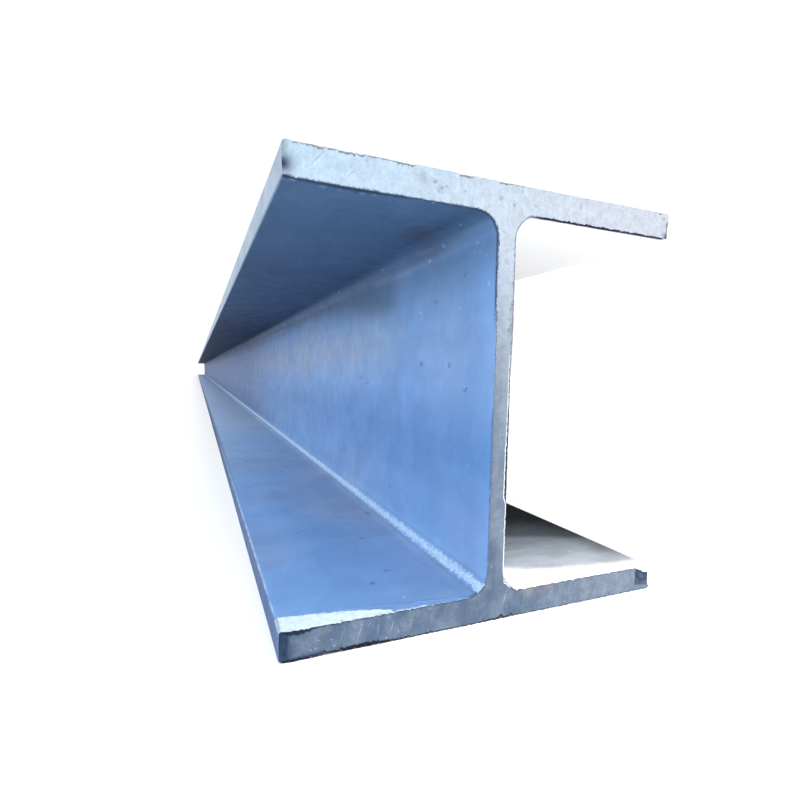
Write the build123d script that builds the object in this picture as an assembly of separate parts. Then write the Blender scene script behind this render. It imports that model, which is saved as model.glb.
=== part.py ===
from build123d import *
import os

# A wide-flange steel beam: one length of hot-rolled H-section with square-cut ends.
# Sizes are in millimetres. X runs across the flanges, Y along the length and Z up, with the web
# upright. The origin is at the middle of the underside, halfway along the length.

# the section, as the rolls leave it
section_height = 150.0
flange_width = 150.0
flange_thickness = 10.0
web_thickness = 7.0
root_radius = 8.0        # in each corner between web and flange
outer_toe_radius = 1.0   # on the flange tips, at the outer faces
inner_toe_radius = 0.8   # on the flange tips, at the faces towards the web

# the length that the stock is sold in
stock_length = 6000.0


def rolled_section():
    """The H-section in its own plane: x across the flanges, y from the underside up."""
    from_below = (Align.CENTER, Align.MIN)
    from_above = (Align.CENTER, Align.MAX)
    bottom_flange = Rectangle(flange_width, flange_thickness, align=from_below)
    top_flange = Pos(0, section_height) * Rectangle(flange_width, flange_thickness, align=from_above)
    web = Rectangle(web_thickness, section_height, align=from_below)
    section = bottom_flange + web + top_flange
    section = round_corners(section, web_thickness / 2, inner_levels(), root_radius)
    section = round_corners(section, flange_width / 2, inner_levels(), inner_toe_radius)
    return round_corners(section, flange_width / 2, outer_levels(), outer_toe_radius)


def inner_levels():
    """Heights of the two flange faces that look at each other."""
    return (flange_thickness, section_height - flange_thickness)


def outer_levels():
    """Heights of the underside and the top face."""
    return (0, section_height)


def round_corners(section, reach, levels, radius):
    """Rounds the section's corners that lie this far out from its middle, at these levels."""
    tolerance = 1e-6
    corners = [
        corner
        for corner in section.vertices()
        if abs(abs(corner.X) - reach) < tolerance
        and any(abs(corner.Y - level) < tolerance for level in levels)
    ]
    return fillet(corners, radius)


def beam():
    """The section drawn out along Y, half of the length to each side of the origin."""
    return extrude(Plane.XZ * rolled_section(), amount=stock_length / 2, both=True)


h_beam = beam()

os.makedirs("parts", exist_ok=True)
export_step(h_beam, "parts/h_beam.step")

section_area = h_beam.volume / stock_length
print(f"section area {section_area / 100:.2f} cm2, volume {h_beam.volume / 1e6:.1f} dm3")
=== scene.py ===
import math
from collections import defaultdict

import bpy
import numpy as np
from mathutils import Matrix, Vector, kdtree, noise
from mathutils.geometry import delaunay_2d_cdt


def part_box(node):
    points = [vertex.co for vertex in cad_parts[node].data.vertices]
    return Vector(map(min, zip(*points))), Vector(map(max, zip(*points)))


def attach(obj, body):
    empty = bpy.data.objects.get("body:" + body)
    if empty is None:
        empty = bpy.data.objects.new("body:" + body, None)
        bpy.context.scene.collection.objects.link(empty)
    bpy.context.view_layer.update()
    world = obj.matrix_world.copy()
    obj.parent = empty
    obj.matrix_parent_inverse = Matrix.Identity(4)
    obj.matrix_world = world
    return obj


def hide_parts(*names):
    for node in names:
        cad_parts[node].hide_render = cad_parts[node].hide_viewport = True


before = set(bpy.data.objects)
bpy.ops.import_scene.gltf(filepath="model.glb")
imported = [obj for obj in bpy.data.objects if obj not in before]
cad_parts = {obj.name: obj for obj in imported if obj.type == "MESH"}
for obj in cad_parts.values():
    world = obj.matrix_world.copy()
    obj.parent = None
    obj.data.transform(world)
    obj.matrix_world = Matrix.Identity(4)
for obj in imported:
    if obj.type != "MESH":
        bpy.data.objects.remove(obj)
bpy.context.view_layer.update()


# The camera: the photographer stood a hand's breadth in front of the near end and a little to the
# left of it, low enough to look along the inside of the left bay, with a very wide lens.
mm = 0.001
beam_low, beam_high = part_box("h_beam")
near_end_y = beam_low[1]
camera_left = 96.9 * mm
camera_before_end = 134.7 * mm
camera_height = 86.5 * mm
turned_right = math.radians(21.70)
tipped_down = math.radians(3.45)
leaning = math.radians(1.10)

camera_data = bpy.data.cameras.new("camera")
camera_data.sensor_width = 36.0
camera_data.lens = 21.28
camera_data.shift_x = 0.020
camera_data.clip_start = 0.005
camera_data.clip_end = 200.0


def placed(name, data):
    """A new object in the scene."""
    thing = bpy.data.objects.new(name, data)
    bpy.context.scene.collection.objects.link(thing)
    return thing


camera = placed("camera", camera_data)
bpy.context.scene.camera = camera

ahead = Vector((
    math.sin(turned_right) * math.cos(tipped_down),
    math.cos(turned_right) * math.cos(tipped_down),
    -math.sin(tipped_down),
))
level_right = ahead.cross(Vector((0, 0, 1))).normalized()
level_up = level_right.cross(ahead)
picture_right = math.cos(leaning) * level_right + math.sin(leaning) * level_up
picture_up = picture_right.cross(ahead)
stance = Matrix((picture_right, picture_up, -ahead)).transposed().to_4x4()
stance.translation = (-camera_left, near_end_y - camera_before_end, camera_height)
camera.matrix_world = stance


# The section: a wide-flange profile that four rolls squeeze out of a white-hot bloom, so that web,
# flanges and the round roots between them are one piece. Its outline is walked once round, in
# millimetres, x across and z up from the middle of the underside.
section_width = (beam_high[0] - beam_low[0]) / mm
section_height = (beam_high[2] - beam_low[2]) / mm
flange_thickness = 10.0
web_thickness = 7.0
root_radius = 8.0
outer_toe_radius = 1.0
inner_toe_radius = 0.8
fine_step = 0.6    # between outline points at the cut ends
coarse_every = 3   # along the length only every third point is kept
beside_toe = 0.35  # a short run beside each toe, so that the flat faces are shaded flat

tip = section_width / 2
web_face = web_thickness / 2
middle_height = section_height / 2


def straight(start, end):
    steps = coarse_every * max(1, round(math.dist(start, end) / (fine_step * coarse_every)))
    share = np.arange(steps)[:, None] / steps
    return np.array(start) * (1 - share) + np.array(end) * share


def arc(centre, radius, from_degrees, to_degrees, steps):
    angle = np.radians(from_degrees + (to_degrees - from_degrees) * np.arange(steps) / steps)
    return np.array(centre) + radius * np.stack((np.cos(angle), np.sin(angle)), axis=1)


outer_toe = (tip - outer_toe_radius, outer_toe_radius)
inner_toe = (tip - inner_toe_radius, flange_thickness - inner_toe_radius)
root = (web_face + root_radius, flange_thickness + root_radius)
side_low = outer_toe[1] + beside_toe
side_high = inner_toe[1] - beside_toe
lower_right = np.concatenate((
    straight((0, 0), (outer_toe[0] - beside_toe, 0)),
    straight((outer_toe[0] - beside_toe, 0), (outer_toe[0], 0)),
    arc(outer_toe, outer_toe_radius, -90, 0, 2 * coarse_every),
    straight((tip, outer_toe[1]), (tip, side_low)),
    straight((tip, side_low), (tip, side_high)),
    straight((tip, side_high), (tip, inner_toe[1])),
    arc(inner_toe, inner_toe_radius, 0, 90, 2 * coarse_every),
    straight((inner_toe[0], flange_thickness), (inner_toe[0] - beside_toe, flange_thickness)),
    straight((inner_toe[0] - beside_toe, flange_thickness), (root[0], flange_thickness)),
    arc(root, root_radius, 270, 180, 8 * coarse_every),
    straight((web_face, root[1]), (web_face, middle_height)),
))
upper_right = (lower_right * (1, -1) + (0, section_height))[:0:-1]
right_half = np.concatenate((lower_right, [(web_face, middle_height)], upper_right))
left_half = (right_half * (-1, 1))[:0:-1]
outline = np.concatenate((right_half, [(0, section_height)], left_half))
rim_count = len(outline)

tangent = np.roll(outline, -1, axis=0) - np.roll(outline, 1, axis=0)
tangent /= np.linalg.norm(tangent, axis=1)[:, None]
outward = np.stack((tangent[:, 1], -tangent[:, 0]), axis=1)
around = np.cumsum(np.linalg.norm(outline - np.roll(outline, 1, axis=0), axis=1))


# The sawn ends: cut square at the mill with a cold saw, which leaves a slightly wavy face, a torn
# burr on the edges that it leaves last, ragged dark lips, bruised corners and a few scratches.
burr_reach = 1.3      # along the length
burr_height = 0.42    # out of the surface
tear_reach = 2.4
far_tear_reach = 2.0
worn_edge = 0.12
hollow_reach = 8.0    # along the skin, where the cut face's hollows even out
bend_reach = 6.0      # of the bent corner, along the length
bend_drop = 3.3


def smooth(low, high, value):
    """0 at low, 1 at high, with an easy start and end."""
    share = min(1.0, max(0.0, (value - low) / (high - low)))
    return share * share * (3 - 2 * share)


def rough(x, y=0.0, z=0.0):
    """Smooth noise from -1 to 1."""
    return noise.noise(Vector((x, y, z)))


def off_line(x, z, start, end):
    """How far a place on the cut face lies from a line drawn on it."""
    run = (end[0] - start[0], end[1] - start[1])
    share = ((x - start[0]) * run[0] + (z - start[1]) * run[1]) / (run[0] ** 2 + run[1] ** 2)
    share = min(1.0, max(0.0, share))
    return math.hypot(x - start[0] - share * run[0], z - start[1] - share * run[1])


def stroke(x, z, start, end, width):
    """1 on the line, falling to 0 beside it."""
    return math.exp(-((off_line(x, z, start, end) / width) ** 2))


def spot(x, z, at, radius):
    """1 in the middle of a round spot, falling to 0 round it."""
    return math.exp(-((x - at[0]) ** 2 + (z - at[1]) ** 2) / (0.5 * radius ** 2))


def bump_at(x, middle, width):
    return math.exp(-(((x - middle) / width) ** 2))


dark_scratches = [   # from, to, how wide and how dark
    ((-62.2, 149.0), (-67.4, 143.5), 0.30, 0.26),
    ((-62.9, 148.4), (-68.6, 142.2), 0.22, 0.12),
    ((-53.3, 145.4), (-56.6, 141.5), 0.26, 0.22),
    ((-59.0, 147.0), (-58.8, 143.8), 0.24, 0.14),
    ((-49.9, 149.0), (-49.9, 147.4), 0.30, 0.22),
    ((-6.8, 138.2), (-3.0, 134.6), 0.75, 0.26),
    ((-3.0, 134.6), (0.4, 132.6), 0.50, 0.20),
    ((5.0, 141.5), (6.8, 139.6), 0.40, 0.20),
    ((20.0, 149.0), (20.6, 146.5), 0.35, 0.12),
    ((57.0, 148.5), (57.4, 145.0), 0.35, 0.16),
    ((-45.5, 9.0), (-49.2, 4.2), 0.28, 0.30),
]
light_scratches = [
    ((-48.8, 7.7), (-50.9, 2.6), 0.22, 0.15),
    ((-43.3, 8.7), (-44.1, 1.8), 0.20, 0.11),
    ((-38.3, 7.4), (-39.1, 3.6), 0.20, 0.14),
    ((-55.2, 6.0), (-56.3, 2.8), 0.20, 0.10),
    ((-31.6, 6.6), (-33.0, 2.9), 0.20, 0.10),
    ((-46.0, 8.4), (-47.4, 5.6), 0.20, 0.14),
    ((-64.6, 5.8), (-62.0, 4.9), 0.20, 0.14),
    ((-66.0, 3.0), (-64.8, 2.2), 0.22, 0.14),
    ((-58.8, 3.0), (-57.4, 2.2), 0.22, 0.14),
    ((-41.2, 1.9), (-40.4, 1.2), 0.28, 0.24),
    ((-37.0, 4.8), (-36.2, 1.8), 0.20, 0.12),
    ((4.6, 9.4), (3.6, 5.0), 0.22, 0.22),
    ((13.0, 8.0), (12.2, 3.0), 0.20, 0.10),
    ((28.4, 8.4), (29.4, 3.6), 0.20, 0.10),
]
pits = [
    ((-27.3, 145.8), 0.9), ((-25.0, 144.2), 0.8), ((-26.2, 143.2), 0.7), ((-23.4, 145.0), 0.5),
    ((-16.5, 144.6), 0.6), ((-2.8, 144.4), 0.7), ((2.6, 142.8), 0.8), ((11.3, 143.8), 0.6),
    ((5.5, 147.6), 0.5), ((2.8, 117.0), 0.5), ((3.0, 110.0), 0.9), ((2.4, 108.3), 0.8),
    ((1.9, 104.8), 0.6), ((2.7, 103.0), 0.7), ((2.1, 101.3), 0.9), ((2.6, 87.6), 0.6),
    ((2.9, 128.6), 0.6), ((31.0, 146.0), 0.5), ((62.0, 147.6), 0.4), ((47.0, 4.4), 0.5),
]
rough_patch = ((-26.0, 144.6), 3.0)
top_edge_tears = [   # from, to and how deep, along the upper edge
    (-72.4, -70.6, 0.5), (-69.8, -65.2, 0.6), (-64.9, -63.2, 0.9), (-61.9, -59.3, 0.6),
    (-58.7, -53.4, 0.9), (-53.2, -50.4, 0.8), (-49.7, -40.6, 0.5), (-40.2, -34.4, 0.8),
    (-18.6, -13.2, 0.85), (-3.8, 0.4, 0.7), (0.4, 6.0, 0.35), (33.0, 34.2, 0.3), (70.0, 71.6, 0.5),
]
outer_edge = section_height - 0.5
flange_under = section_height - flange_thickness


def top_tear(x):
    """How deep the upper edge is torn at a place, and 0 where it isn't."""
    return max((depth for start, end, depth in top_edge_tears if start < x < end), default=0.0)


def knocked_back(x, z):
    """How far the corners of the cut face are knocked back, in millimetres."""
    back = 0.0
    if z < flange_thickness + 1:
        back += 0.7 * smooth(tip - 8.6, tip - 7.4, x + 0.7 * rough(z * 0.5)) * smooth(0.6, 2.6, z)
        back += 0.5 * smooth(-tip + 3.0, -tip + 0.6, x + 0.5 * rough(z * 0.6, 3))
    if z > flange_under - 1:
        back += 0.6 * bump_at(x, 0.6 - tip, 2.0) * bump_at(z, 143.9, 2.6)
        back += 0.3 * smooth(tip - 1.2, tip, x) * smooth(outer_edge - 2, outer_edge - 6, z)
    return back


def bent(x, y, z):
    """The lower right-hand corner was dropped on something: its upper edge is bent down."""
    share = max(0.0, 1 - (y - y_near) / bend_reach)
    if z > flange_thickness + 1 or share == 0:
        return x, y, z
    drop = bend_drop * smooth(tip - 9.5, tip - 0.5, x) * smooth(1.0, flange_thickness, z)
    return x, y, z - drop * share


def face_depth(x, z):
    """How deep the cut face lies behind the end of the box, in millimetres."""
    depth = 0.14 + 0.10 * rough(x * 0.06, z * 0.06) + 0.05 * rough(x * 0.5, z * 0.5, 7)
    depth += 0.03 * rough(x * 1.4, z * 0.4, 9) + knocked_back(x, z)
    for start, end, width, dark in dark_scratches:
        depth += 0.4 * dark * stroke(x, z, start, end, width)
    for start, end, width, light in light_scratches:
        depth += 0.4 * light * stroke(x, z, start, end, width)
    for at, radius in pits:
        depth += 0.4 * radius * spot(x, z, at, radius)
    depth += 0.25 * spot(x, z, *rough_patch) * abs(rough(x * 1.1, z * 1.1, 33))
    return max(0.0, depth)


def side_of(i):
    """Which edge of the cut face an outline point belongs to."""
    x, z = outline[i]
    if z < 0.5:
        return "bottom"
    if z > outer_edge:
        return "top"
    if abs(x) > tip - 1.2:
        return "tip"
    if z > middle_height and outward[i][1] < -0.4:
        return "under top flange"
    if z < middle_height and outward[i][1] > 0.4:
        return "on bottom flange"
    return "web"


def burr_at(i):
    """How far the torn burr stands out at an outline point, in millimetres."""
    x, z = outline[i]
    ragged = 0.60 + 0.40 * rough(around[i] * 0.35) + 0.45 * rough(around[i] * 1.3, 5)
    side = side_of(i)
    if side == "under top flange":
        return burr_height * max(0.0, ragged) * smooth(tip - 1.5, tip - 4, abs(x))
    if side == "web" and x < 0:
        return burr_height * max(0.0, 0.7 * ragged) * smooth(96, 124, z)
    if side == "web" and x > 0:
        return burr_height * max(0.0, 0.6 * ragged) * smooth(84, 100, z)
    return 0.0


def tear_at(i):
    """How far the edge is torn back at an outline point, in millimetres."""
    x, z = outline[i]
    s = around[i]
    side = side_of(i)
    if side == "bottom":
        teeth = max(0.0, rough(s * 0.75, 41) + 0.9 * rough(s * 1.9, 43))
        teeth *= 0.7 + 1.1 * smooth(-12, 4, x)
        return 0.05 + teeth + 0.4 * bump_at(x, -60.5, 3.2)
    if side == "top" and top_tear(x):
        return 0.35 * top_tear(x) * (1 + rough(s * 1.6, 47))
    if side == "top":
        return 0.22 * max(0.0, rough(s * 0.8, 49) + 0.4 * rough(s * 2.4, 51))
    if side == "on bottom flange":
        reach = 0.75 + 0.7 * bump_at(x, 9, 6)
        return reach * max(0.0, rough(s * 0.5, 53) + 0.8 * rough(s * 1.6, 57))
    if side == "web":
        return 0.28 * max(0.0, rough(s * 0.5, 59) + 0.6 * rough(s * 1.5, 61))
    return 0.0


def lip_at(i):
    """The dark torn lip of the cut face at an outline point: its width, and how dark it is. Along the bottom
    and under the top flange it is partly a painted shadow of the torn edge.
    """
    x, z = outline[i]
    s = around[i]
    ragged = 0.5 + 0.6 * rough(s * 0.30, 11) + 0.6 * rough(s * 0.9, 13)
    side = side_of(i)
    # partly a painted shadow under the torn bottom edge
    if side == "bottom":
        width = 0.35 * max(0.0, ragged) + 1.1 * bump_at(x, -49, 8) + 0.5 * bump_at(x, -70, 5)
        return width + 0.45 * bump_at(x, 3, 4) + 0.1, 1.0 - 0.6 * smooth(6, 18, x)
    if side == "top" and top_tear(x):
        return top_tear(x) * (0.75 + 0.5 * rough(s * 1.6, 19)), 0.58
    if side == "top":
        return 0.08, 0.20
    # partly a painted shadow of the burr under the top flange
    if side == "under top flange":
        if x > web_face:
            width = (0.25 + 0.35 * smooth(7, 12, x) + 0.28 * ragged) * smooth(tip - 2.2, tip - 4, x)
            return width + 0.25 * bump_at(x, 9, 1.2), 0.5 + 0.5 * smooth(8, 14, x)
        return 0.20 + 0.22 * ragged, 0.60
    if side == "on bottom flange" and x < 0:
        width = 0.25 + 0.40 * max(0.0, ragged) + 1.0 * bump_at(x, -69, 4)
        return width, 0.50 + 0.38 * bump_at(x, -69, 9)
    if side == "on bottom flange":
        return 0.20 + 0.30 * max(0.0, ragged), 0.60
    if side == "web" and x < 0:
        width = (0.34 + 0.30 * ragged) * (0.5 + 0.5 * smooth(118, 124, z))
        return width, 0.25 + 0.55 * smooth(78, 104, z)
    if side == "web":
        width = (0.42 + 0.34 * smooth(76, 48, z) + 0.08 * ragged) * smooth(41, 44, z) * smooth(97, 90, z)
        width += (0.15 + 0.35 * max(0.0, ragged)) * smooth(90, 100, z)
        return width, 0.95 - 0.35 * smooth(70, 92, z)
    return 0.12 * max(0.0, ragged), 0.35


burr = [burr_at(i) for i in range(rim_count)]
tear = [tear_at(i) for i in range(rim_count)]
lip = [lip_at(i) for i in range(rim_count)]


# The length: rings of outline points, close together at the two ends and ever wider apart between
# them. The skin is a little uneven, as steel leaves the rolls, and never stands out of the section.
skin_unevenness = 0.12
flaky_reach = 320.0    # of the flakes that stand in the roots, from the near cut
root_side = 11.0       # how far from the middle they reach
near_places = [0.0, 0.15, 0.35, 0.6, 0.95, 1.4, 2.0, 2.8, 3.8]
far_places = [0.0, 0.4, 1.2, 2.6]
far_cut_back = 0.1     # of the far cut behind the end of the box
beam_length = (beam_high[1] - beam_low[1]) / mm
y_near = beam_low[1] / mm
y_far = beam_high[1] / mm


def widening(first, step, growth, until):
    places = []
    place = first + step
    while place < until:
        places.append(place)
        step *= growth
        place += step
    return places


near_run = widening(near_places[-1], step=1.6, growth=1.075, until=beam_length - 1500)
far_run = widening(far_places[-1], step=2.5, growth=1.32, until=beam_length - near_run[-1] - 150)

# Each ring lies so far behind the near cut, and has every point of the outline or every third.
rings = [(place, 1) for place in near_places]
rings += [(place, coarse_every) for place in near_run]
rings += [(beam_length - place, coarse_every) for place in reversed(far_run)]
rings += [(beam_length - place, 1) for place in reversed(far_places)]


def skin_point(i, from_cut):
    """Where the skin lies at an outline point, a distance behind the near cut."""
    x, z = outline[i]
    nx, nz = outward[i]
    y = y_near + from_cut
    from_far = beam_length - from_cut
    inset = skin_unevenness * (1.05 + rough(x * 0.03, y * 0.012, z * 0.03))
    if from_cut < tear_reach:
        fade = (1 - from_cut / tear_reach) ** 2
        inset += fade * (tear[i] + worn_edge * (1 + rough(around[i] * 0.25, 23)))
    if from_cut < burr_reach and burr[i] > 0:
        inset -= (burr[i] + 0.2 * smooth(0, 0.1, burr[i])) * (1 - from_cut / burr_reach)
    if from_cut < hollow_reach:
        y += face_depth(x, z) * (1 - from_cut / hollow_reach)
    if from_cut < flaky_reach and abs(x) < root_side and abs(nx * nz) > 0.1:
        flakes = rough(x * 0.9, y * 0.35, z * 0.9)
        inset += 0.35 * abs(nx * nz) * flakes * (1 - from_cut / flaky_reach)
    if from_far < far_tear_reach:
        inset += 0.3 * (1 - from_far / far_tear_reach) * (0.6 + 0.7 * rough(around[i] * 0.2, 29))
        y -= far_cut_back
    if burr[i] == 0:
        inset = max(0.01, inset)
    return x - nx * inset, y, z - nz * inset


points, ring_start = [], []
for from_cut, every in rings:
    ring_start.append(len(points))
    points.extend(skin_point(i, from_cut) for i in range(0, rim_count, every))

faces = []
for k in range(len(rings) - 1):
    this, after = ring_start[k], ring_start[k + 1]
    every, next_every = rings[k][1], rings[k + 1][1]
    if every == next_every:
        for i in range(rim_count // every):
            j = (i + 1) % (rim_count // every)
            faces.append((this + i, this + j, after + j, after + i))
        continue
    coarsens = every < next_every
    fine, coarse = (this, after) if coarsens else (after, this)
    for i in range(rim_count // coarse_every):
        a, b, c, d = (fine + (i * coarse_every + n) % rim_count for n in range(4))
        low, high = coarse + i, coarse + (i + 1) % (rim_count // coarse_every)
        for loop in ((a, b, low), (b, c, high, low), (c, d, high)):
            faces.append(loop if coarsens else loop[::-1])
skin_faces = len(faces)
skin_points = len(points)


# The faces of the two ends are nets of small triangles hung in the first and the last ring, so
# that scratches, pits, torn edges and bruises are real hollows in the steel.
near_net = 0.47
far_net = 1.4
net_gap = 0.26    # between the edge and the first knot

rim_tree = kdtree.KDTree(rim_count)
for i, (x, z) in enumerate(outline):
    rim_tree.insert((x, z, 0), i)
rim_tree.balance()


def inside_of(i, x, z):
    """How far a place lies inside the outline at one of its points, in millimetres."""
    return (outline[i][0] - x) * outward[i][0] + (outline[i][1] - z) * outward[i][1]


def nearest_rim(x, z):
    """The nearest outline point, and how far inside it the place lies."""
    _, i, _ = rim_tree.find((x, z, 0))
    return i, inside_of(i, x, z)


def torn_back(start, i):
    """How far inside the outline the real edge of an end lies."""
    x, _, z = points[start + i]
    return inside_of(i, x, z)


def net_places(start, step):
    places = []
    row_height = step * math.sqrt(3) / 2
    for row in range(int(section_height / row_height) + 1):
        z = (row + 0.5) * row_height
        between_flanges = flange_thickness < z < flange_under
        reach = root[0] if between_flanges else tip
        x = -reach + (0.5 if row % 2 else 0.0) * step
        while x < reach:
            i, inside = nearest_rim(x, z)
            if inside > torn_back(start, i) + net_gap * step / near_net:
                places.append((x, z))
            x += step
    return places


def close_end(start, step, y_of, faces_camera):
    rim = [(points[start + i][0], points[start + i][2]) for i in range(rim_count)]
    border = [(i, (i + 1) % rim_count) for i in range(rim_count)]
    flat = [Vector(p) for p in rim + net_places(start, step)]
    net_points, _, net_faces, sources = delaunay_2d_cdt(flat, border, [], 1, 1e-6)[:4]
    number = []
    for place, source in zip(net_points, sources):
        if source and source[0] < rim_count:
            number.append(start + source[0])
        else:
            number.append(len(points))
            points.append((place.x, y_of(place.x, place.y), place.y))
    for corners in net_faces:
        loop = [number[c] for c in corners]
        faces.append(loop if faces_camera else loop[::-1])


close_end(ring_start[0], near_net, lambda x, z: y_near + face_depth(x, z), True)
near_cap_points = len(points)
near_cut_faces = len(faces)
close_end(ring_start[-1], far_net, lambda x, z: y_far - far_cut_back, False)

beam_mesh = bpy.data.meshes.new("steel_beam")
beam_mesh.from_pydata([tuple(mm * v for v in bent(*p)) for p in points], [], faces)
steel_beam = placed("steel_beam", beam_mesh)


# The paint's sheet: for handing on, the steel's paint is laid out on a square. The near cut takes
# nearly half its width, the far cut less, and below them lies the skin, unrolled once round the
# section, with the more room along it the nearer it is to the near cut, where the wear is.
near_cut_spot = (0.010, 0.535, 0.45)     # left, bottom and size on the sheet
far_cut_spot = (0.480, 0.535, 0.22)
skin_spot = (0.005, 0.015, 0.99, 0.50)   # left, bottom, width and height
roomy_reach = 40.0                       # millimetres beside the near cut
even_room = 0.45                         # share of the skin's height that is spread evenly
girth = around[-1]

skin_places = []
for from_cut, every in rings:
    run = math.log1p(from_cut / roomy_reach) / math.log1p(beam_length / roomy_reach)
    share = even_room * from_cut / beam_length + (1 - even_room) * run
    skin_places.extend(((around[i] - around[0]) / girth, share) for i in range(0, rim_count, every))

sheet = []
for f, corners in enumerate(faces):
    if f < skin_faces:
        left, bottom, width, height = skin_spot
        turns = [skin_places[p][0] for p in corners]
        closing = max(turns) - min(turns) > 0.5
        for p, turn in zip(corners, turns):
            turn += 1.0 if closing and turn < 0.5 else 0.0
            sheet += (left + width * turn, bottom + height * skin_places[p][1])
    else:
        left, bottom, size = near_cut_spot if f < near_cut_faces else far_cut_spot
        for p in corners:
            x, _, z = points[p]
            across = 0.5 + 0.5 * (x if f < near_cut_faces else -x) / tip
            sheet += (left + size * across, bottom + size * z / section_height)
beam_mesh.uv_layers.new(name="OFBake").uv.foreach_set("vector", sheet)


# The wear and the painted light: what the steel has been through, and where shade, shadows, light and
# highlights are painted onto it, is kept point by point for the paint below, such as where a torn edge is
# dark, a toe is rubbed bright, the roots carry flaky scale or dust has settled.
wear = {name: np.zeros(len(points)) for name in (
    "torn_pitted_and_shadow", "bruised_and_shaded", "rubbed_and_highlit", "flaky_and_highlit", "shaded", "shade_deep_in", "pale", "stained", "dusty", "scuffed",
    "darker_band_and_shade", "side", "right_bay", "bay_light_line", "bay_shade_line", "strip", "beside_strip",
    "from_edge", "lip_width", "lip_dark", "edge_light",
)}
nowhere_near = 50.0      # millimetres from a line, for the points that it isn't for
for name in ("bay_light_line", "bay_shade_line", "strip", "beside_strip"):
    wear[name] -= nowhere_near
wear["from_edge"] += 5
torn_reach = 10.0        # nothing is torn further behind the cut
strip_depth = 9.0        # of the strip of painted light beside the cut, at the left tip
strip_start = 38.0       # how far left of the middle it begins
strip_tail = 0.55        # its thin end along the cut
lit_slope = 0.132        # of the painted shade's edge, from the web towards the strip
bay_fade = (460, 200)    # behind the cut, where the right bay's painted light and shade give way to plain skin
bay_light_depth = 23.0        # of the patch of painted light in the right bay, at the web
bay_light_slope = 0.423       # of the patch's edge, towards the toe
bay_light_curve = 0.00266     # how that edge bends back from the cut again
bay_light_reach_above = 400   # of the painted light on the top flange's underside
bay_shade_start = 58.9        # where the painted shade behind the painted light begins, at the web
bay_shade_slope = 0.34
bay_shade_start_above = 900


class Place:
    """A point of the skin: where it is, which way it faces and what part of the beam it is on."""

    def __init__(self, i, from_cut):
        self.i = i
        self.from_cut = from_cut
        self.x, self.z = outline[i]
        self.nx, self.nz = outward[i]
        self.cloud = rough(from_cut * 0.012, self.z * 0.03, self.x * 0.03)
        self.upper = self.z > middle_height
        self.slant = abs(self.nx * self.nz)
        self.in_bay = abs(self.x) < tip and flange_thickness - 0.5 < self.z < flange_under + 0.5
        between_flanges = flange_thickness < self.z < flange_under
        self.in_root = between_flanges and web_face < abs(self.x) < root[0] and self.slant > 0.001
        self.on_web = self.in_bay and abs(self.nx) > 0.9 and abs(self.x) < 6
        self.on_bottom_flange = self.in_bay and not self.upper and self.nz > 0.9
        self.under_top_flange = self.in_bay and self.upper and self.nz < -0.9


def wear_root(at, worn):
    """Flaky scale stands in the lower roots, with a painted highlight along them, and stains have run along
    the upper left one.
    """
    if not at.upper:
        worn["flaky_and_highlit"] = (2 * at.slant) ** 8
    elif at.x < 0:
        worn["stained"] = (2 * at.slant) ** 1.5 * (0.12 + 0.5 * bump_at(at.from_cut, 44, 24))


def wear_left_bay(at, worn):
    """The bay that the light falls into: painted shade under its top flange, in its upper root and deeper
    in; dusty and scuffed.
    """
    # painted shade: the bay darker the further it lies behind the near cut
    worn["shade_deep_in"] = smooth(110, 900, at.from_cut) * (0.2 if at.on_bottom_flange else 1.0)
    if at.under_top_flange:
        worn["shade_deep_in"] = 0.3 * smooth(20, 160, at.from_cut) + 0.7 * smooth(120, 600, at.from_cut)
        worn["stained"] = 0.9 * bump_at(at.x, -15.5, 8) * bump_at(at.from_cut, 38, 22)
    # painted shade: darker under the top flange and in the upper root, with a painted shadow of the top
    # flange on the upper web
    if at.upper:
        shade = smooth(0.25, 0.95, -at.nz)
        if at.nz > -0.9:
            edge = 133 - 17 * math.exp(-max(0.0, at.from_cut - 85) / 130) + 3 * at.cloud
            painted_flange_shadow = 0.78 * smooth(edge - 9, edge + 7, at.z) * smooth(72, 98, at.from_cut + 5 * at.cloud)
            shade = max(shade, painted_flange_shadow, 0.33 * smooth(115, 131, at.z + at.cloud))
        if at.in_root:
            painted_root_shade = (0.55 + 0.40 * smooth(8, 80, at.from_cut)) * smooth(0.05, 0.5, -at.nz)
            shade = max(shade, painted_root_shade, 0.95 * smooth(70, 130, at.from_cut))
        worn["shaded"] = shade
    if at.on_web:
        worn["dusty"] = bump_at(at.z, 99 + 5 * at.cloud, 17) * smooth(10, 190, at.from_cut)
        scuffs = 0.5 * bump_at(at.z, 105 + 6 * at.cloud, 19)
        scuffs *= smooth(3, 16, at.from_cut) * smooth(420, 60, at.from_cut)
        patch = 1.3 * bump_at(at.z, 104 + 4 * at.cloud, 14) * bump_at(at.from_cut, 172, 62)
        worn["scuffed"] = max(scuffs, patch)
        worn["darker_band_and_shade"] = bump_at(at.z, 56, 24) * smooth(900, 200, at.from_cut)
    if at.on_bottom_flange:
        fall = smooth(50, 14, abs(at.x) + 8 * at.cloud) * (0.35 + 0.65 * smooth(0, 160, at.from_cut))
        worn["dusty"] = fall * (1 - 0.62 * smooth(110, 420, at.from_cut))
        worn["pale"] = smooth(110, 600, at.from_cut)


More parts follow.
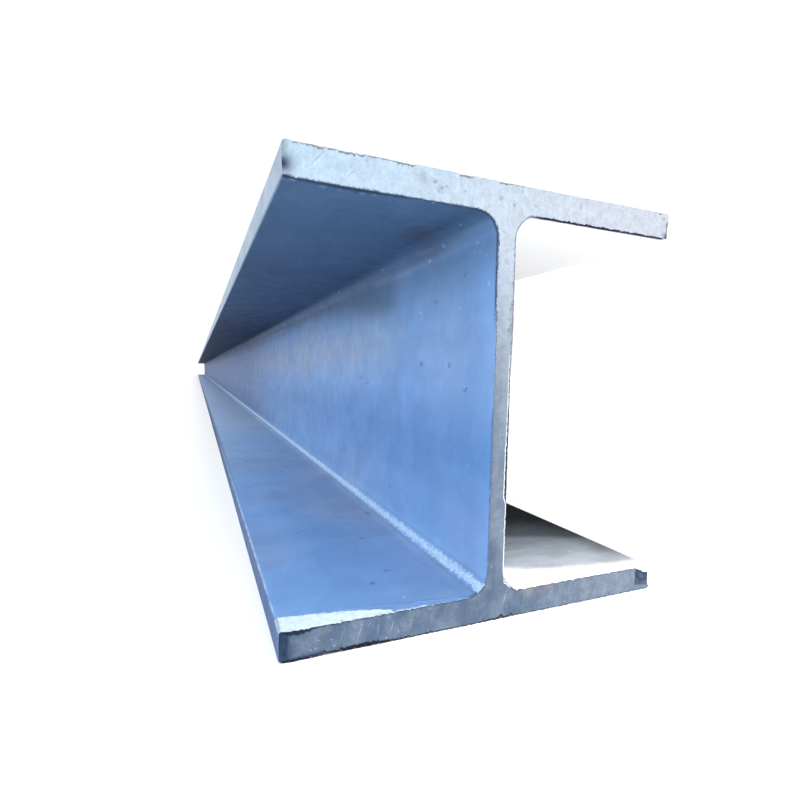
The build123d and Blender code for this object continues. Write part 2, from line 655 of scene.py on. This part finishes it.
def wear_right_bay(at, worn):
    """The bay on the other side: painted light beside the cut and on its top flange's underside, painted
    shade behind it and towards the toe.
    """
    worn["right_bay"] = smooth(*bay_fade, at.from_cut + 30 * at.cloud)
    if at.upper:
        worn["bay_light_line"] = bay_light_reach_above - at.from_cut
        worn["bay_shade_line"] = at.from_cut - bay_shade_start_above
    else:
        bay_light_edge = bay_light_depth - bay_light_slope * at.x + bay_light_curve * at.x * at.x
        worn["bay_light_line"] = bay_light_edge - at.from_cut
        worn["bay_shade_line"] = at.from_cut - (bay_shade_start - bay_shade_slope * at.x)
        # painted shade: darker towards the right toe
        worn["darker_band_and_shade"] = 0.62 * smooth(58, 74, at.x) * smooth(6, 20, at.from_cut)


def wear_beside_cut(at, worn):
    """The left bay's floor: a strip of painted light along the cut, and painted shade behind it where the
    narrow lamp reaches.
    """
    share = (-at.x - strip_start) / (tip - strip_start)
    depth = strip_depth * math.copysign(abs(share) ** 0.5, share)
    tail = strip_tail * smooth(-12, -30, at.x) - 0.15
    worn["strip"] = max(depth, tail) - at.from_cut
    worn["beside_strip"] = (-at.x - web_face) * lit_slope - at.from_cut


def wear_toe(at, worn):
    """The flanges' sides: painted light on the upper ones, darker lower ones with painted shade deeper in,
    and toe corners rubbed bright by handling, partly a painted highlight.
    """
    side = abs(at.nx)
    worn["side"] = smooth(0.5, 0.95, side)
    # painted light: the upper sides pale
    worn["pale"] = side if at.upper else 0.0
    if not at.upper:
        worn["shade_deep_in"] = smooth(60, 500, at.from_cut)
    # the toe corners: worn bright, partly a painted highlight
    rubbing = 0.15
    if flange_thickness - 2 < at.z < flange_under + 2:
        rubbing = 0.12 if at.upper else 0.3 + 0.7 * smooth(320, 90, at.from_cut)
    worn["rubbed_and_highlit"] = rubbing * 2 * side * abs(at.nz)


def tear_skin(at, worn):
    """The saw left the skin's edge torn and dark, with bright dashes beside the upper tears; under the top
    flange a painted shadow of the burr lies along the cut.
    """
    width, dark = lip[at.i]
    s = around[at.i]
    torn_pitted_and_shadow = smooth(1.7, 0.5, at.from_cut) * dark * smooth(0.0, 0.12, burr[at.i])
    # painted shadow: a dark band under the top flange along the cut
    if at.under_top_flange and at.x < 0:
        reach = 2.0 + 1.5 * bump_at(at.x, -54, 15) + 0.7 * rough(s * 0.5, 63)
        torn_pitted_and_shadow = max(torn_pitted_and_shadow, 0.62 * smooth(reach + 0.7, reach - 1.2, at.from_cut))
        dash = smooth(-0.05, 0.15, rough(s * 0.42, 65)) * bump_at(at.from_cut, reach + 0.9, 0.6)
        bright = 0.75 * dash * smooth(-30, -42, at.x)
        for fleck in (-33.3, -30.6, -27.0):
            bright = max(bright, bump_at(at.x, fleck, 0.6) * bump_at(at.from_cut, 2.2, 0.6))
        worn["rubbed_and_highlit"] = max(worn["rubbed_and_highlit"], bright)
    if at.under_top_flange and at.x > 0:
        torn_pitted_and_shadow = max(torn_pitted_and_shadow, 0.97 * smooth(1.5 + 0.4 * rough(s * 0.8, 67), 0.8, at.from_cut))
        torn_pitted_and_shadow *= smooth(tip - 1.0, tip - 5, at.x)
    if at.z < 0.5:
        torn_pitted_and_shadow = max(torn_pitted_and_shadow, smooth(4.0, 2.8, at.from_cut) * dark)
    if at.z > outer_edge:
        torn_pitted_and_shadow = max(torn_pitted_and_shadow, smooth(1.5, 0.3, at.from_cut) * dark * min(1.0, width))
    if at.in_root and at.upper and at.x < 0:
        torn_pitted_and_shadow = max(torn_pitted_and_shadow, 0.8 * smooth(1.6, 0.6, at.from_cut))
    if at.on_web and at.x < 0:
        ragged = 0.5 + 0.9 * rough(s * 0.35, 69)
        torn_pitted_and_shadow = max(torn_pitted_and_shadow, 0.55 * smooth(0.9, 0.3, at.from_cut) * ragged * smooth(90, 70, at.z))
    worn["torn_pitted_and_shadow"] = min(1.0, max(0.0, torn_pitted_and_shadow))


for start, (from_cut, every) in zip(ring_start, rings):
    for n in range(rim_count // every):
        at = Place(n * every, from_cut)
        worn = defaultdict(float)
        if at.in_root:
            wear_root(at, worn)
        if at.in_bay and at.x < 0:
            wear_left_bay(at, worn)
        if at.in_bay and at.x > 0:
            wear_right_bay(at, worn)
        if at.x < 0 and not at.upper and at.z > flange_thickness - 1:
            wear_beside_cut(at, worn)
        if abs(at.x) > tip - 2.2 and 0.5 < at.z < outer_edge:
            wear_toe(at, worn)
        if from_cut < torn_reach:
            tear_skin(at, worn)
        for name, value in worn.items():
            wear[name][start + n] = value


# The near cut's own wear: pits, navy bruises where the corners were knocked, and a little rust beside the
# web, with painted shade on the knocked-back facet of its lower right corner. Its upper part is pale where
# it is lit, and painted shade leaves it slate-blue below.
bright_edge = (11, 93)   # heights between which the web's right edge catches the light
far_cut_pale = 0.8       # the far cut is pale nearly all over, with little of the painted shade


def pitted(x, z):
    dark = max(0.45 * spot(x, z, at, radius) for at, radius in pits)
    return max(dark, 0.5 * spot(x, z, *rough_patch) * max(0.0, rough(x * 0.9, z * 0.9, 33)))


def bruised_and_shaded(x, z, inside):
    lower_left = smooth(-70.6, -72.6, x - 0.8 * rough(z * 0.5, 71)) * smooth(10.5, 9.0, z)
    # painted shade on the knocked-back facet of the lower right corner
    shaded_facet = smooth(66.0, 67.2, x + 0.8 * rough(z * 0.45, 75)) * smooth(0.8, 3.0, z + 0.12 * (x - 70))
    shaded_facet *= smooth(12.0, 10.5, z)
    return min(1.0, max(
        lower_left * (0.86 + 0.25 * rough(x * 0.5, z * 0.35, 83)),
        0.60 * smooth(-68.0, -72.0, x - 0.9 * rough(z * 0.35, 73)) * smooth(11.0, 8.0, z),
        0.95 * stroke(x, z, (-75.0, 9.0), (-67.0, 9.8), 1.15),
        0.90 * stroke(x, z, (-75.0, 0.3), (-62.0, 0.9), 1.15),
        shaded_facet * (0.72 + 0.25 * rough(x * 0.5, z * 0.5, 81)),
        0.95 * shaded_facet * smooth(1.2, 0.2, inside),
        0.97 * bump_at(x, -74.6, 2.9) * bump_at(z, 143.4, 2.7),
        0.42 * smooth(-71.8, -74.6, x) * smooth(138, 141, z),
        0.97 * spot(x, z, (74.4, 140.9), 2.6),
        0.85 * stroke(x, z, (74.8, 141.0), (74.4, 146.0), 0.6),
        0.50 * spot(x, z, (72.4, 147.6), 0.9),
    ))


# Painted light and shade on the cut face: the share of the pale lit colour, high on it, with painted shade
# lower down.
def lit_cut_share(x, z):
    height = z + 1.6 * min(web_face, max(-web_face, x)) + 5 * rough(x * 0.25, z * 0.12, 31)
    if z >= flange_under - root_radius:
        return smooth(56, 132, height)
    lit_part = 0.14 * smooth(14, 34, height) + 0.86 * smooth(54, 140, height) + 0.07 * bump_at(z, 68, 14)
    return max(lit_part, 0.11 * smooth(8, 60, x))


def rusted(x, z, inside):
    if z > middle_height:
        beside_web = 0.5 * smooth(1.3, 0.2, inside) * smooth(0, 3, x) * bump_at(z, 108, 22)
        return max(beside_web, 0.35 * spot(x, z, (-31.0, 147.0), 4.0))
    if z > flange_thickness + 2:
        return 0.3 * smooth(2.6, 0.8, inside) * bump_at(z, 40, 17) if x < 0 else 0.0
    return bump_at(x, 18 + 3 * rough(z * 0.4, 77), 7) * smooth(5.5, 9.5, z + 0.9 * rough(x * 0.6, 79))


for p in [*range(ring_start[0], ring_start[1]), *range(skin_points, near_cap_points)]:
    x, _, z = points[p]
    i, inside = nearest_rim(x, z)
    inside = max(0.0, inside - torn_back(ring_start[0], i))
    wear["from_edge"][p] = inside
    wear["lip_width"][p], wear["lip_dark"][p] = lip[i]
    wear["edge_light"][p] = 0 < x < 12 and bright_edge[0] < z < bright_edge[1]
    wear["torn_pitted_and_shadow"][p] = pitted(x, z)
    wear["bruised_and_shaded"][p] = bruised_and_shaded(x, z, inside)
    # the pale share here is the cut face's painted light, with painted shade below it
    wear["pale"][p] = lit_cut_share(x, z)
    wear["stained"][p] = rusted(x, z, inside)
    for name in ("flaky_and_highlit", "shaded", "shade_deep_in", "dusty", "scuffed", "darker_band_and_shade"):
        wear[name][p] = 0
wear["pale"][near_cap_points:] = far_cut_pale

for name, values in wear.items():
    beam_mesh.attributes.new(name, "FLOAT", "POINT").data.foreach_set("value", values)


# The rolled skin: mill scale, the blue-grey oxide that forms as the hot bar cools. It is cloudy, with mauve
# dust, faint marks across the bar, pin-holes, and flakes standing up in the roots with a painted highlight
# along them. Painted shade, painted light and painted shadows lie over it in the bays, beside the cut and on
# the flanges' sides.
def add(kind, **settings):
    """A new node in tree, the nodes of the finish at hand."""
    node = tree.nodes.new(kind)
    for name, value in settings.items():
        setattr(node, name, value)
    return node


def feed(node, **inputs):
    """Sets sockets by name or number: a link where the value is a socket, else a plain value."""
    for name, value in inputs.items():
        number = name[1:]
        socket = node.inputs[int(number)] if number.isdigit() else node.inputs[name.replace("_", " ")]
        if isinstance(value, bpy.types.NodeSocket):
            tree.links.new(value, socket)
        else:
            socket.default_value = value
    return node


def grain(where, scale, detail=4.0, roughness=0.6, distortion=0.0):
    """Cloudy noise from 0 to 1; scale is how many clouds fit in a metre."""
    node = add("ShaderNodeTexNoise")
    feed(node, Vector=where, Scale=scale, Detail=detail, Roughness=roughness, Distortion=distortion)
    return node.outputs["Fac"]


def uneven(where, low, high, scale, detail=4.0, roughness=0.6, distortion=0.0):
    """Cloudy noise that mostly runs from low to high."""
    return remap(grain(where, scale, detail, roughness, distortion), 0.3, 0.7, low, high)


def remap(value, low, high, to_low=0.0, to_high=1.0):
    node = add("ShaderNodeMapRange", interpolation_type="SMOOTHSTEP")
    feed(node, Value=value, From_Min=low, From_Max=high, To_Min=to_low, To_Max=to_high)
    return node.outputs["Result"]


def calc(operation, first, second=0.0):
    node = add("ShaderNodeMath", operation=operation)
    feed(node, _0=first, _1=second)
    return node.outputs[0]


def times(first, second):
    return calc("MULTIPLY", first, second)


def all_but(share, strength=1.0):
    """1 where the share is 0, and less where it is larger."""
    return calc("SUBTRACT", 1.0, times(share, strength))


def blend(share, first, second, mode="MIX"):
    node = add("ShaderNodeMix", data_type="RGBA", blend_type=mode)
    feed(node, _0=share, _6=first, _7=second)
    return node.outputs[2]


def tinted(colour, tone):
    """A colour made lighter or darker by a number round 1."""
    grey = add("ShaderNodeCombineColor")
    feed(grey, _0=tone, _1=tone, _2=tone)
    return blend(1.0, colour, grey.outputs[0], "MULTIPLY")


def coat(colour, paint, share, *shares):
    """The colour with a coat of paint over it, as dense as the shares multiplied."""
    for more in shares:
        share = times(share, more)
    return blend(share, colour, paint)


def kept(name):
    """What the wear and the painted light above say of a point."""
    return add("ShaderNodeAttribute", attribute_name=name).outputs["Fac"]


def stretched(where, factors):
    node = add("ShaderNodeMapping")
    feed(node, Vector=where, Scale=factors)
    return node.outputs["Vector"]


def sprinkled(where, scale, share, size):
    """Small round specks; scale is how many cells fit in a metre, share how many of them hold one."""
    cells = feed(add("ShaderNodeTexVoronoi"), Vector=where, Scale=scale)
    draw = feed(add("ShaderNodeSeparateColor"), _0=cells.outputs["Color"])
    chosen = remap(draw.outputs[0], share, share * 0.8)
    return times(chosen, remap(cells.outputs["Distance"], size, size * 0.45))


def mark(where, middle, reach, turn=0.0):
    """1 in the middle of a round or long mark, 0 outside it; all in millimetres, turn about Y."""
    place = add("ShaderNodeMapping", vector_type="TEXTURE")
    feed(place, Vector=where, Rotation=(0, turn, 0))
    feed(place, Location=[mm * v for v in middle], Scale=[mm * v for v in reach])
    off = feed(add("ShaderNodeVectorMath", operation="LENGTH"), _0=place.outputs[0])
    return remap(off.outputs["Value"], 1.0, 0.35)


def most_of(shares):
    most = 0.0
    for share in shares:
        most = calc("MAXIMUM", most, share)
    return most


def wander(where, scale, reach):
    """The place, led astray by some millimetres, so that what is drawn there isn't straight."""
    stray = feed(add("ShaderNodeTexNoise"), Vector=where, Scale=scale, Detail=2.0)
    moved = add("ShaderNodeVectorMath", operation="MULTIPLY_ADD")
    feed(moved, _0=stray.outputs["Color"], _1=[mm * v for v in reach], _2=where)
    return moved.outputs[0]


scale_blue = (0.150, 0.305, 0.580, 1)
scale_mauve = (0.215, 0.275, 0.420, 1)
scale_deep = (0.080, 0.195, 0.430, 1)
far_shade_blue = (0.052, 0.095, 0.205, 1)
grey_dust = (0.225, 0.305, 0.465, 1)
side_blue = (0.036, 0.084, 0.205, 1)
side_far_shade = (0.012, 0.030, 0.075, 1)
side_painted_light = (0.250, 0.315, 0.390, 1)
shade_slate = (0.046, 0.092, 0.172, 1)
deep_slate = (0.007, 0.020, 0.048, 1)
root_flakes_and_highlight = (0.470, 0.660, 0.830, 1)
rubbed_steel = (0.400, 0.540, 0.720, 1)
torn_and_shadow_dark = (0.006, 0.009, 0.020, 1)
bruise_and_shade_navy = (0.009, 0.020, 0.052, 1)
rust_brown = (0.044, 0.044, 0.078, 1)
scuff_grey = (0.330, 0.400, 0.530, 1)
dust_and_light_white = (0.480, 0.560, 0.650, 1)
strip_light_white = (0.250, 0.315, 0.370, 1)
strip_shade_blue = (0.050, 0.110, 0.230, 1)
# the right bay's painted light and shade: a darker neutral grey for its shade, white where it is lit,
# near-black deeper in
bay_shade_grey = (0.136, 0.160, 0.190, 1)
bay_light_white = (0.560, 0.550, 0.525, 1)
bay_light_above = (0.925, 0.928, 0.930, 1)
bay_shade_black = (0.004, 0.006, 0.009, 1)
rust_red = (0.300, 0.130, 0.090, 1)


def new_finish(name):
    """A material, its nodes and its shader."""
    finish = bpy.data.materials.new(name)
    finish.use_nodes = True
    return finish, finish.node_tree, finish.node_tree.nodes["Principled BSDF"]


rolled_skin, tree, shader = new_finish("rolled_skin")
here = add("ShaderNodeTexCoord").outputs["Object"]

patches = remap(grain(here, 9.0, 3.0, 0.5), 0.42, 0.70)
colour = coat(scale_blue, scale_mauve, patches, 0.5)
dust_clouds = remap(grain(here, 24.0, 5.0, 0.6), 0.3, 0.6, 0.45, 1.0)
colour = coat(colour, grey_dust, kept("dusty"), dust_clouds)
scuffs = remap(grain(stretched(here, (1.0, 0.6, 0.60)), 230.0, 5.0, 0.72, 0.7), 0.50, 0.66)
colour = coat(colour, scuff_grey, scuffs, kept("scuffed"), 0.42)
dark_scuffs = remap(grain(stretched(here, (1.0, 0.5, 1.0)), 330.0, 4.0, 0.7), 0.62, 0.72)
colour = coat(colour, shade_slate, dark_scuffs, kept("scuffed"), 0.45)
clouds = remap(grain(here, 22.0, 3.0, 0.5, 0.4), 0.36, 0.70)
colour = coat(colour, scale_deep, clouds, 0.28)
colour = coat(colour, scale_deep, kept("darker_band_and_shade"))
# painted shade: darker and deeper blue further in
colour = coat(colour, far_shade_blue, kept("shade_deep_in"), 0.8)

streaks = uneven(stretched(here, (0.10, 1.0, 0.10)), -0.07, 0.07, 34.0, 5.0, 0.68)
streaks_grow = calc("ADD", times(kept("shade_deep_in"), 0.2), 0.22)
tone = calc("ADD", times(streaks, streaks_grow), 1.0)
tone = times(tone, uneven(stretched(here, (0.14, 1.0, 0.14)), 0.985, 1.015, 260.0, 3.0, 0.6))
tone = times(tone, uneven(stretched(here, (1.0, 0.03, 1.0)), 0.98, 1.02, 150.0, 2.0, 0.5))
tone = times(tone, uneven(here, 0.92, 1.08, 36.0, 6.0, 0.66, 0.6))
colour = tinted(colour, tone)

# painted shade: slate under the top flange, in the upper root and on the upper web, darker deeper in
slate = tinted(blend(kept("shade_deep_in"), shade_slate, deep_slate), tone)
colour = coat(colour, slate, kept("shaded"), 0.92)

# painted light: white on the right bay's lower flange beside the cut and on its top flange's underside
height = feed(add("ShaderNodeSeparateXYZ"), _0=here).outputs["Z"]
bay_light = blend(remap(height, 0.02, 0.09), bay_light_white, bay_light_above)
bay_light_fray = uneven(here, -1.0, 1.0, 120.0, 5.0, 0.65)
bay_lit_share = remap(calc("ADD", kept("bay_light_line"), bay_light_fray), -3.2, 8.0)
grey_tone = uneven(stretched(here, (0.3, 1.0, 1.0)), 0.85, 1.15, 120.0)
grey = coat(tinted(bay_shade_grey, grey_tone), bay_shade_black, kept("darker_band_and_shade"))
grey = coat(grey, rust_red, sprinkled(here, 160.0, 0.3, 0.16), 0.5)
bay = coat(grey, bay_light, bay_lit_share)
# painted shade: near-black behind the painted light, deeper into the right bay
bay_shade_step = remap(kept("bay_shade_line"), -3.0, 4.0, 0.0, 0.62)
bay_shade_depth = remap(kept("bay_shade_line"), 0.0, 34.0, 0.0, 0.38)
bay_shade_share = calc("ADD", bay_shade_step, bay_shade_depth)
bay = coat(bay, bay_shade_black, bay_shade_share)
colour = coat(colour, bay, kept("right_bay"))

smear = remap(grain(stretched(here, (1.0, 0.35, 1.0)), 60.0, 5.0, 0.65), 0.42, 0.62)
colour = coat(colour, rust_brown, kept("stained"), smear, 0.85)

# painted light on the upper sides of the flanges, pale where the lower ones are dark blue; dust on the lower
# flange further in
painted_light_on_side = times(kept("pale"), remap(grain(here, 55.0), 0.25, 0.55, 0.65, 1.0))
side_tone = uneven(stretched(here, (1.0, 0.4, 1.0)), 0.88, 1.12, 140.0, 5.0, 0.6)
colour = coat(colour, dust_and_light_white, kept("pale"), 0.36)
# painted shade: the lower sides darker further in
dark_side = blend(kept("shade_deep_in"), side_blue, side_far_shade)
side = tinted(blend(painted_light_on_side, dark_side, side_painted_light), side_tone)
colour = coat(colour, side, kept("side"))

fray = uneven(here, -0.55, 0.55, 900.0, 4.0, 0.7)
strip = remap(calc("ADD", kept("strip"), fray), -0.25, 0.25)
strip_tone = uneven(here, 0.86, 1.1, 500.0, 4.0, 0.65)
# painted shade where the narrow lamp reaches, and painted light in the strip along the cut
colour = coat(colour, strip_shade_blue, remap(kept("beside_strip"), -1.2, 0.7))
colour = coat(colour, tinted(strip_light_white, strip_tone), strip)

# flaky scale in the lower roots, with a painted highlight along them
beside_band = calc("SUBTRACT", remap(kept("flaky_and_highlit"), 0.0, 0.12), remap(kept("flaky_and_highlit"), 0.2, 0.5))
colour = coat(colour, side_blue, beside_band, 0.22)
threads = remap(grain(stretched(here, (1.0, 0.6, 1.0)), 1100.0, 3.0, 0.7, 1.2), 0.40, 0.60)
flake_fray = uneven(here, -0.30, 0.30, 520.0, 5.0, 0.7)
flake_highlight_band = remap(calc("ADD", kept("flaky_and_highlit"), flake_fray), 0.36, 0.80)
colour = coat(colour, root_flakes_and_highlight, flake_highlight_band, calc("ADD", times(threads, 0.50), 0.38))

pin_holes = sprinkled(here, 75.0, 0.25, 0.10)
colour = coat(colour, bruise_and_shade_navy, pin_holes, all_but(kept("right_bay")), 0.5)
specks = sprinkled(stretched(here, (1.0, 1.0, 1.2)), 95.0, 0.45, 0.075)
colour = coat(colour, dust_and_light_white, specks, 0.75)

web_dents = [   # from the cut, height, half length, half height
    (90.6, 26.9, 1.6, 0.9), (171.9, 33.3, 2.6, 1.0), (75.4, 11.9, 1.2, 0.8), (288.9, 59.3, 2.0, 2.4),
    (138.6, 82.3, 5.0, 0.5), (127.0, 79.6, 3.4, 0.5), (30.9, 89.6, 1.8, 0.9), (18.3, 80.2, 1.5, 0.8),
    (56.0, 90.5, 2.0, 0.9), (20.6, 123.5, 1.7, 0.8), (43.0, 116.0, 1.8, 0.9),
]
web_flecks = [
    (14.7, 52.2, 0.7, 0.5), (15.0, 34.0, 0.6, 0.5), (19.1, 81.3, 0.7, 0.5), (22.4, 127.4, 0.9, 0.5),
    (58.0, 113.0, 1.5, 0.4), (24.0, 111.0, 0.7, 0.5), (49.8, 134.0, 1.6, 0.5), (35.1, 137.0, 1.0, 0.5),
    (9.0, 131.6, 0.7, 0.5), (10.6, 129.0, 0.6, 0.6), (7.4, 127.6, 0.6, 0.4), (12.4, 133.2, 0.8, 0.4),
    (14.4, 130.4, 0.6, 0.4), (8.2, 134.4, 0.7, 0.4), (6.2, 121.4, 0.5, 0.5), (5.4, 117.2, 0.6, 0.4),
]
flange_dents = [   # across from the middle, from the cut, half width, half length
    (-58.6, 269.0, 1.8, 3.0), (-10.9, 101.7, 1.3, 3.4), (-28.7, 30.1, 1.7, 0.9),
]
rim = 1.3               # a dent is this much larger with its soft rim, and a fleck fleck_rim
fleck_rim = 1.1
marks_wander = 4.0      # millimetres
wavy_here = wander(here, 420.0, (0.0, marks_wander, marks_wander))


def skin_mark(x, from_cut, z, reach):
    middle = (x, y_near + from_cut + marks_wander / 2, z + marks_wander / 2)
    return mark(wavy_here, middle, reach)


dents = [skin_mark(-web_face, y, z, (3.0, rim * along, rim * up)) for y, z, along, up in web_dents]
for x, y, wide, long in flange_dents:
    dents.append(skin_mark(x, y, flange_thickness, (rim * wide, rim * long, 3.0)))
flecks = []
for y, z, along, up in web_flecks:
    flecks.append(skin_mark(-web_face, y, z, (4.0, fleck_rim * along, fleck_rim * up)))
colour = coat(colour, side_blue, most_of(dents), 0.5)
colour = coat(colour, rubbed_steel, most_of(flecks), 0.38)
root_specks = sprinkled(stretched(here, (0.6, 1.0, 0.6)), 260.0, 0.6, 0.16)
colour = coat(colour, rubbed_steel, root_specks, kept("stained"), 0.4)
# the rubbed toes: worn bright, partly a painted highlight
rub_grain = remap(grain(here, 110.0, 4.0, 0.7), 0.40, 0.58, 0.08, 0.7)
colour = coat(colour, rubbed_steel, kept("rubbed_and_highlit"), rub_grain)
# torn edges, and the painted shadow along the cut under the top flange
colour = coat(colour, torn_and_shadow_dark, kept("torn_pitted_and_shadow"))
feed(shader, Base_Color=colour)

skin_roughness = uneven(here, 0.50, 0.68, 90.0, 5.0, 0.7)
skin_roughness = calc("ADD", skin_roughness, times(kept("right_bay"), 0.22))
sheen = calc("SUBTRACT", 0.32, times(kept("torn_pitted_and_shadow"), 0.30))
sheen = times(sheen, all_but(kept("shade_deep_in"), 0.5))
sheen = times(sheen, all_but(kept("shaded"), 0.55))
sheen = times(sheen, all_but(times(kept("right_bay"), bay_shade_share), 0.9))
feed(shader, Roughness=skin_roughness, Metallic=0.12, Specular_IOR_Level=sheen)
hills = calc("ADD", grain(here, 900.0, 4.0, 0.65), times(clouds, 0.6))
hills = calc("ADD", hills, times(times(flake_highlight_band, threads), 1.3))
bump = feed(add("ShaderNodeBump"), Height=hills, Strength=0.35, Distance=0.0004)
feed(shader, Normal=bump.outputs["Normal"])


# The cut steel: bare metal that the saw left bright, pale where it is lit and painted slate-blue shade lower
# down, with the saw's fine lines across.
clean_left = (0.372, 0.490, 0.612, 1)
clean_right = (0.455, 0.495, 0.565, 1)
# the painted shade of the cut face's lower part
shaded_cut_slate = (0.028, 0.055, 0.103, 1)
shaded_cut_light = (0.066, 0.100, 0.150, 1)
brown_cut = (0.150, 0.118, 0.112, 1)
bright_line = (0.620, 0.680, 0.740, 1)
lip_purple = (0.036, 0.034, 0.085, 1)

sawn_steel, tree, shader = new_finish("sawn_steel")
here = add("ShaderNodeTexCoord").outputs["Object"]
place = feed(add("ShaderNodeSeparateXYZ"), _0=here)

to_right = remap(place.outputs["X"], -0.075, 0.06)
clean = blend(to_right, clean_left, clean_right)
# painted light and shade: the pale lit colour high up, painted shade below
shaded_cut_clouds = remap(grain(here, 130.0, 5.0, 0.65, 0.3), 0.36, 0.66)
shaded_cut = blend(shaded_cut_clouds, shaded_cut_slate, shaded_cut_light)
colour = coat(shaded_cut, clean, kept("pale"))
mottle = uneven(here, 0.88, 1.12, 300.0, 6.0, 0.72)
mottle = times(mottle, uneven(here, 0.93, 1.07, 950.0, 3.0, 0.7, 0.6))
saw_lines = grain(stretched(here, (1.0, 1.0, 0.16)), 620.0, 3.0, 0.6, 0.4)
colour = tinted(colour, times(mottle, remap(saw_lines, 0.3, 0.7, 0.97, 1.03)))
rusty = remap(grain(here, 130.0, 5.0, 0.65), 0.34, 0.58)
colour = coat(colour, brown_cut, rusty, kept("stained"))
colour = coat(colour, bright_line, sprinkled(here, 420.0, 0.35, 0.14), 0.16)

scratches_wander = 1.1   # millimetres
wavy_here = wander(here, 150.0, (scratches_wander, 0.0, scratches_wander))


def scratch(start, end, width, strength):
    x, z = ((a + b + scratches_wander) / 2 for a, b in zip(start, end))
    reach = (math.dist(start, end) / 2, 20.0, width)
    turn = math.atan2(start[1] - end[1], end[0] - start[0])
    return times(mark(wavy_here, (x, y_near, z), reach, turn), strength)


def scratched(scratches):
    return most_of(scratch(*one) for one in scratches)


colour = coat(colour, bright_line, scratched(light_scratches))
colour = coat(colour, torn_and_shadow_dark, scratched(dark_scratches))
# painted highlight: a bright line along the web's right edge
past_lip = calc("SUBTRACT", kept("from_edge"), kept("lip_width"))
line_place = calc("ABSOLUTE", calc("SUBTRACT", past_lip, 0.18))
edge_line = times(kept("edge_light"), remap(line_place, 0.34, 0.08, 0.0, 0.85))
colour = coat(colour, bright_line, edge_line)
# navy bruises, and painted shade on the knocked-back facet
colour = coat(colour, bruise_and_shade_navy, kept("bruised_and_shaded"))
tufts = uneven(here, -0.24, 0.24, 1250.0, 3.0, 0.6)
lip_place = calc("SUBTRACT", kept("lip_width"), kept("from_edge"))
lips = times(kept("lip_dark"), remap(calc("ADD", lip_place, tufts), -0.07, 0.07))
dark = calc("MAXIMUM", kept("torn_pitted_and_shadow"), lips)
purple = remap(grain(here, 210.0, 3.0, 0.6), 0.42, 0.62, 0.2, 1.0)
lip_colour = blend(times(kept("pale"), purple), torn_and_shadow_dark, lip_purple)
colour = coat(colour, lip_colour, dark)
feed(shader, Base_Color=colour)
cut_roughness = uneven(here, 0.42, 0.62, 200.0, 5.0, 0.7)
dulled = calc("MAXIMUM", dark, kept("bruised_and_shaded"))
sheen = calc("SUBTRACT", 0.35, times(dulled, 0.32))
feed(shader, Roughness=cut_roughness, Metallic=0.15, Specular_IOR_Level=sheen)
hills = calc("ADD", grain(here, 700.0, 5.0, 0.7), saw_lines)
bump = feed(add("ShaderNodeBump"), Height=hills, Strength=0.4, Distance=0.0003)
feed(shader, Normal=bump.outputs["Normal"])

beam_mesh.materials.append(rolled_skin)
beam_mesh.materials.append(sawn_steel)
smooth_up_to = math.radians(48)
metal_of = np.zeros(len(faces), np.int32)
metal_of[skin_faces:] = 1
beam_mesh.polygons.foreach_set("material_index", metal_of)
beam_mesh.polygons.foreach_set("use_smooth", np.ones(len(faces), bool))
beam_mesh.set_sharp_from_angle(angle=smooth_up_to)
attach(steel_beam, "root")
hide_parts("h_beam")


# The studio: a plain pale floor in soft white light that comes mostly from the upper left in front,
# a cool soft lamp on the left, and a narrow warm one on the right that reaches only past the cut.
floor_reach = 40.0
floor_paint, tree, shader = new_finish("floor_paint")
feed(shader, Base_Color=(0.88, 0.88, 0.88, 1), Roughness=0.9, Specular_IOR_Level=0.2)
floor_mesh = bpy.data.meshes.new("floor")
floor_corners = [(-1, -1), (1, -1), (1, 1), (-1, 1)]
floor_mesh.from_pydata([(x * floor_reach, y * floor_reach, 0) for x, y in floor_corners], [], [(0, 1, 2, 3)])
floor_mesh.materials.append(floor_paint)
floor = placed("floor", floor_mesh)

light_everywhere = 1.03
light_from_front = 2.05
front_of_studio = (-0.45, -0.55, 0.70)
studio = bpy.data.worlds.new("studio")
bpy.context.scene.world = studio
studio.use_nodes = True
tree = studio.node_tree
facing = add("ShaderNodeVectorMath", operation="DOT_PRODUCT")
feed(facing, _0=add("ShaderNodeTexCoord").outputs["Generated"], _1=front_of_studio)
strength = add("ShaderNodeMapRange")
feed(strength, _0=facing.outputs["Value"], _1=0.0, _2=1.0, _3=light_everywhere, _4=light_from_front)
feed(tree.nodes["Background"], Color=(1, 1, 1, 1), Strength=strength.outputs["Result"])


def lamp(name, place, aim, width, height, power, tint, spread=180.0):
    data = bpy.data.lights.new(name, "AREA")
    data.shape = "RECTANGLE"
    data.size = width
    data.size_y = height
    data.energy = power
    data.color = tint
    data.spread = math.radians(spread)
    light = placed(name, data)
    light.location = place
    light.rotation_euler = (Vector(aim) - Vector(place)).to_track_quat("-Z", "Y").to_euler()
    light.visible_camera = False


lamp_away = 1.6
lamp_turn = math.radians(7.5)
lamp_rise = math.radians(36)
lamp_aim = Vector((0.0, near_end_y - 0.010, 0.010))
toward_lamp = Vector((
    math.cos(lamp_rise) * math.cos(lamp_turn),
    -math.cos(lamp_rise) * math.sin(lamp_turn),
    math.sin(lamp_rise),
))
narrow_place = lamp_aim + lamp_away * toward_lamp
lamp("narrow_lamp", narrow_place, lamp_aim, width=0.085, height=0.11, power=0.11,
     tint=(1.0, 0.955, 0.90), spread=1.5)
lamp("cool_lamp", (-1.6, near_end_y + 0.3, 0.9), (0, near_end_y + 0.5, 0.08), width=1.6, height=1.2,
     power=9.0, tint=(0.72, 0.86, 1.0))

bpy.context.scene.view_settings.view_transform = "Standard"
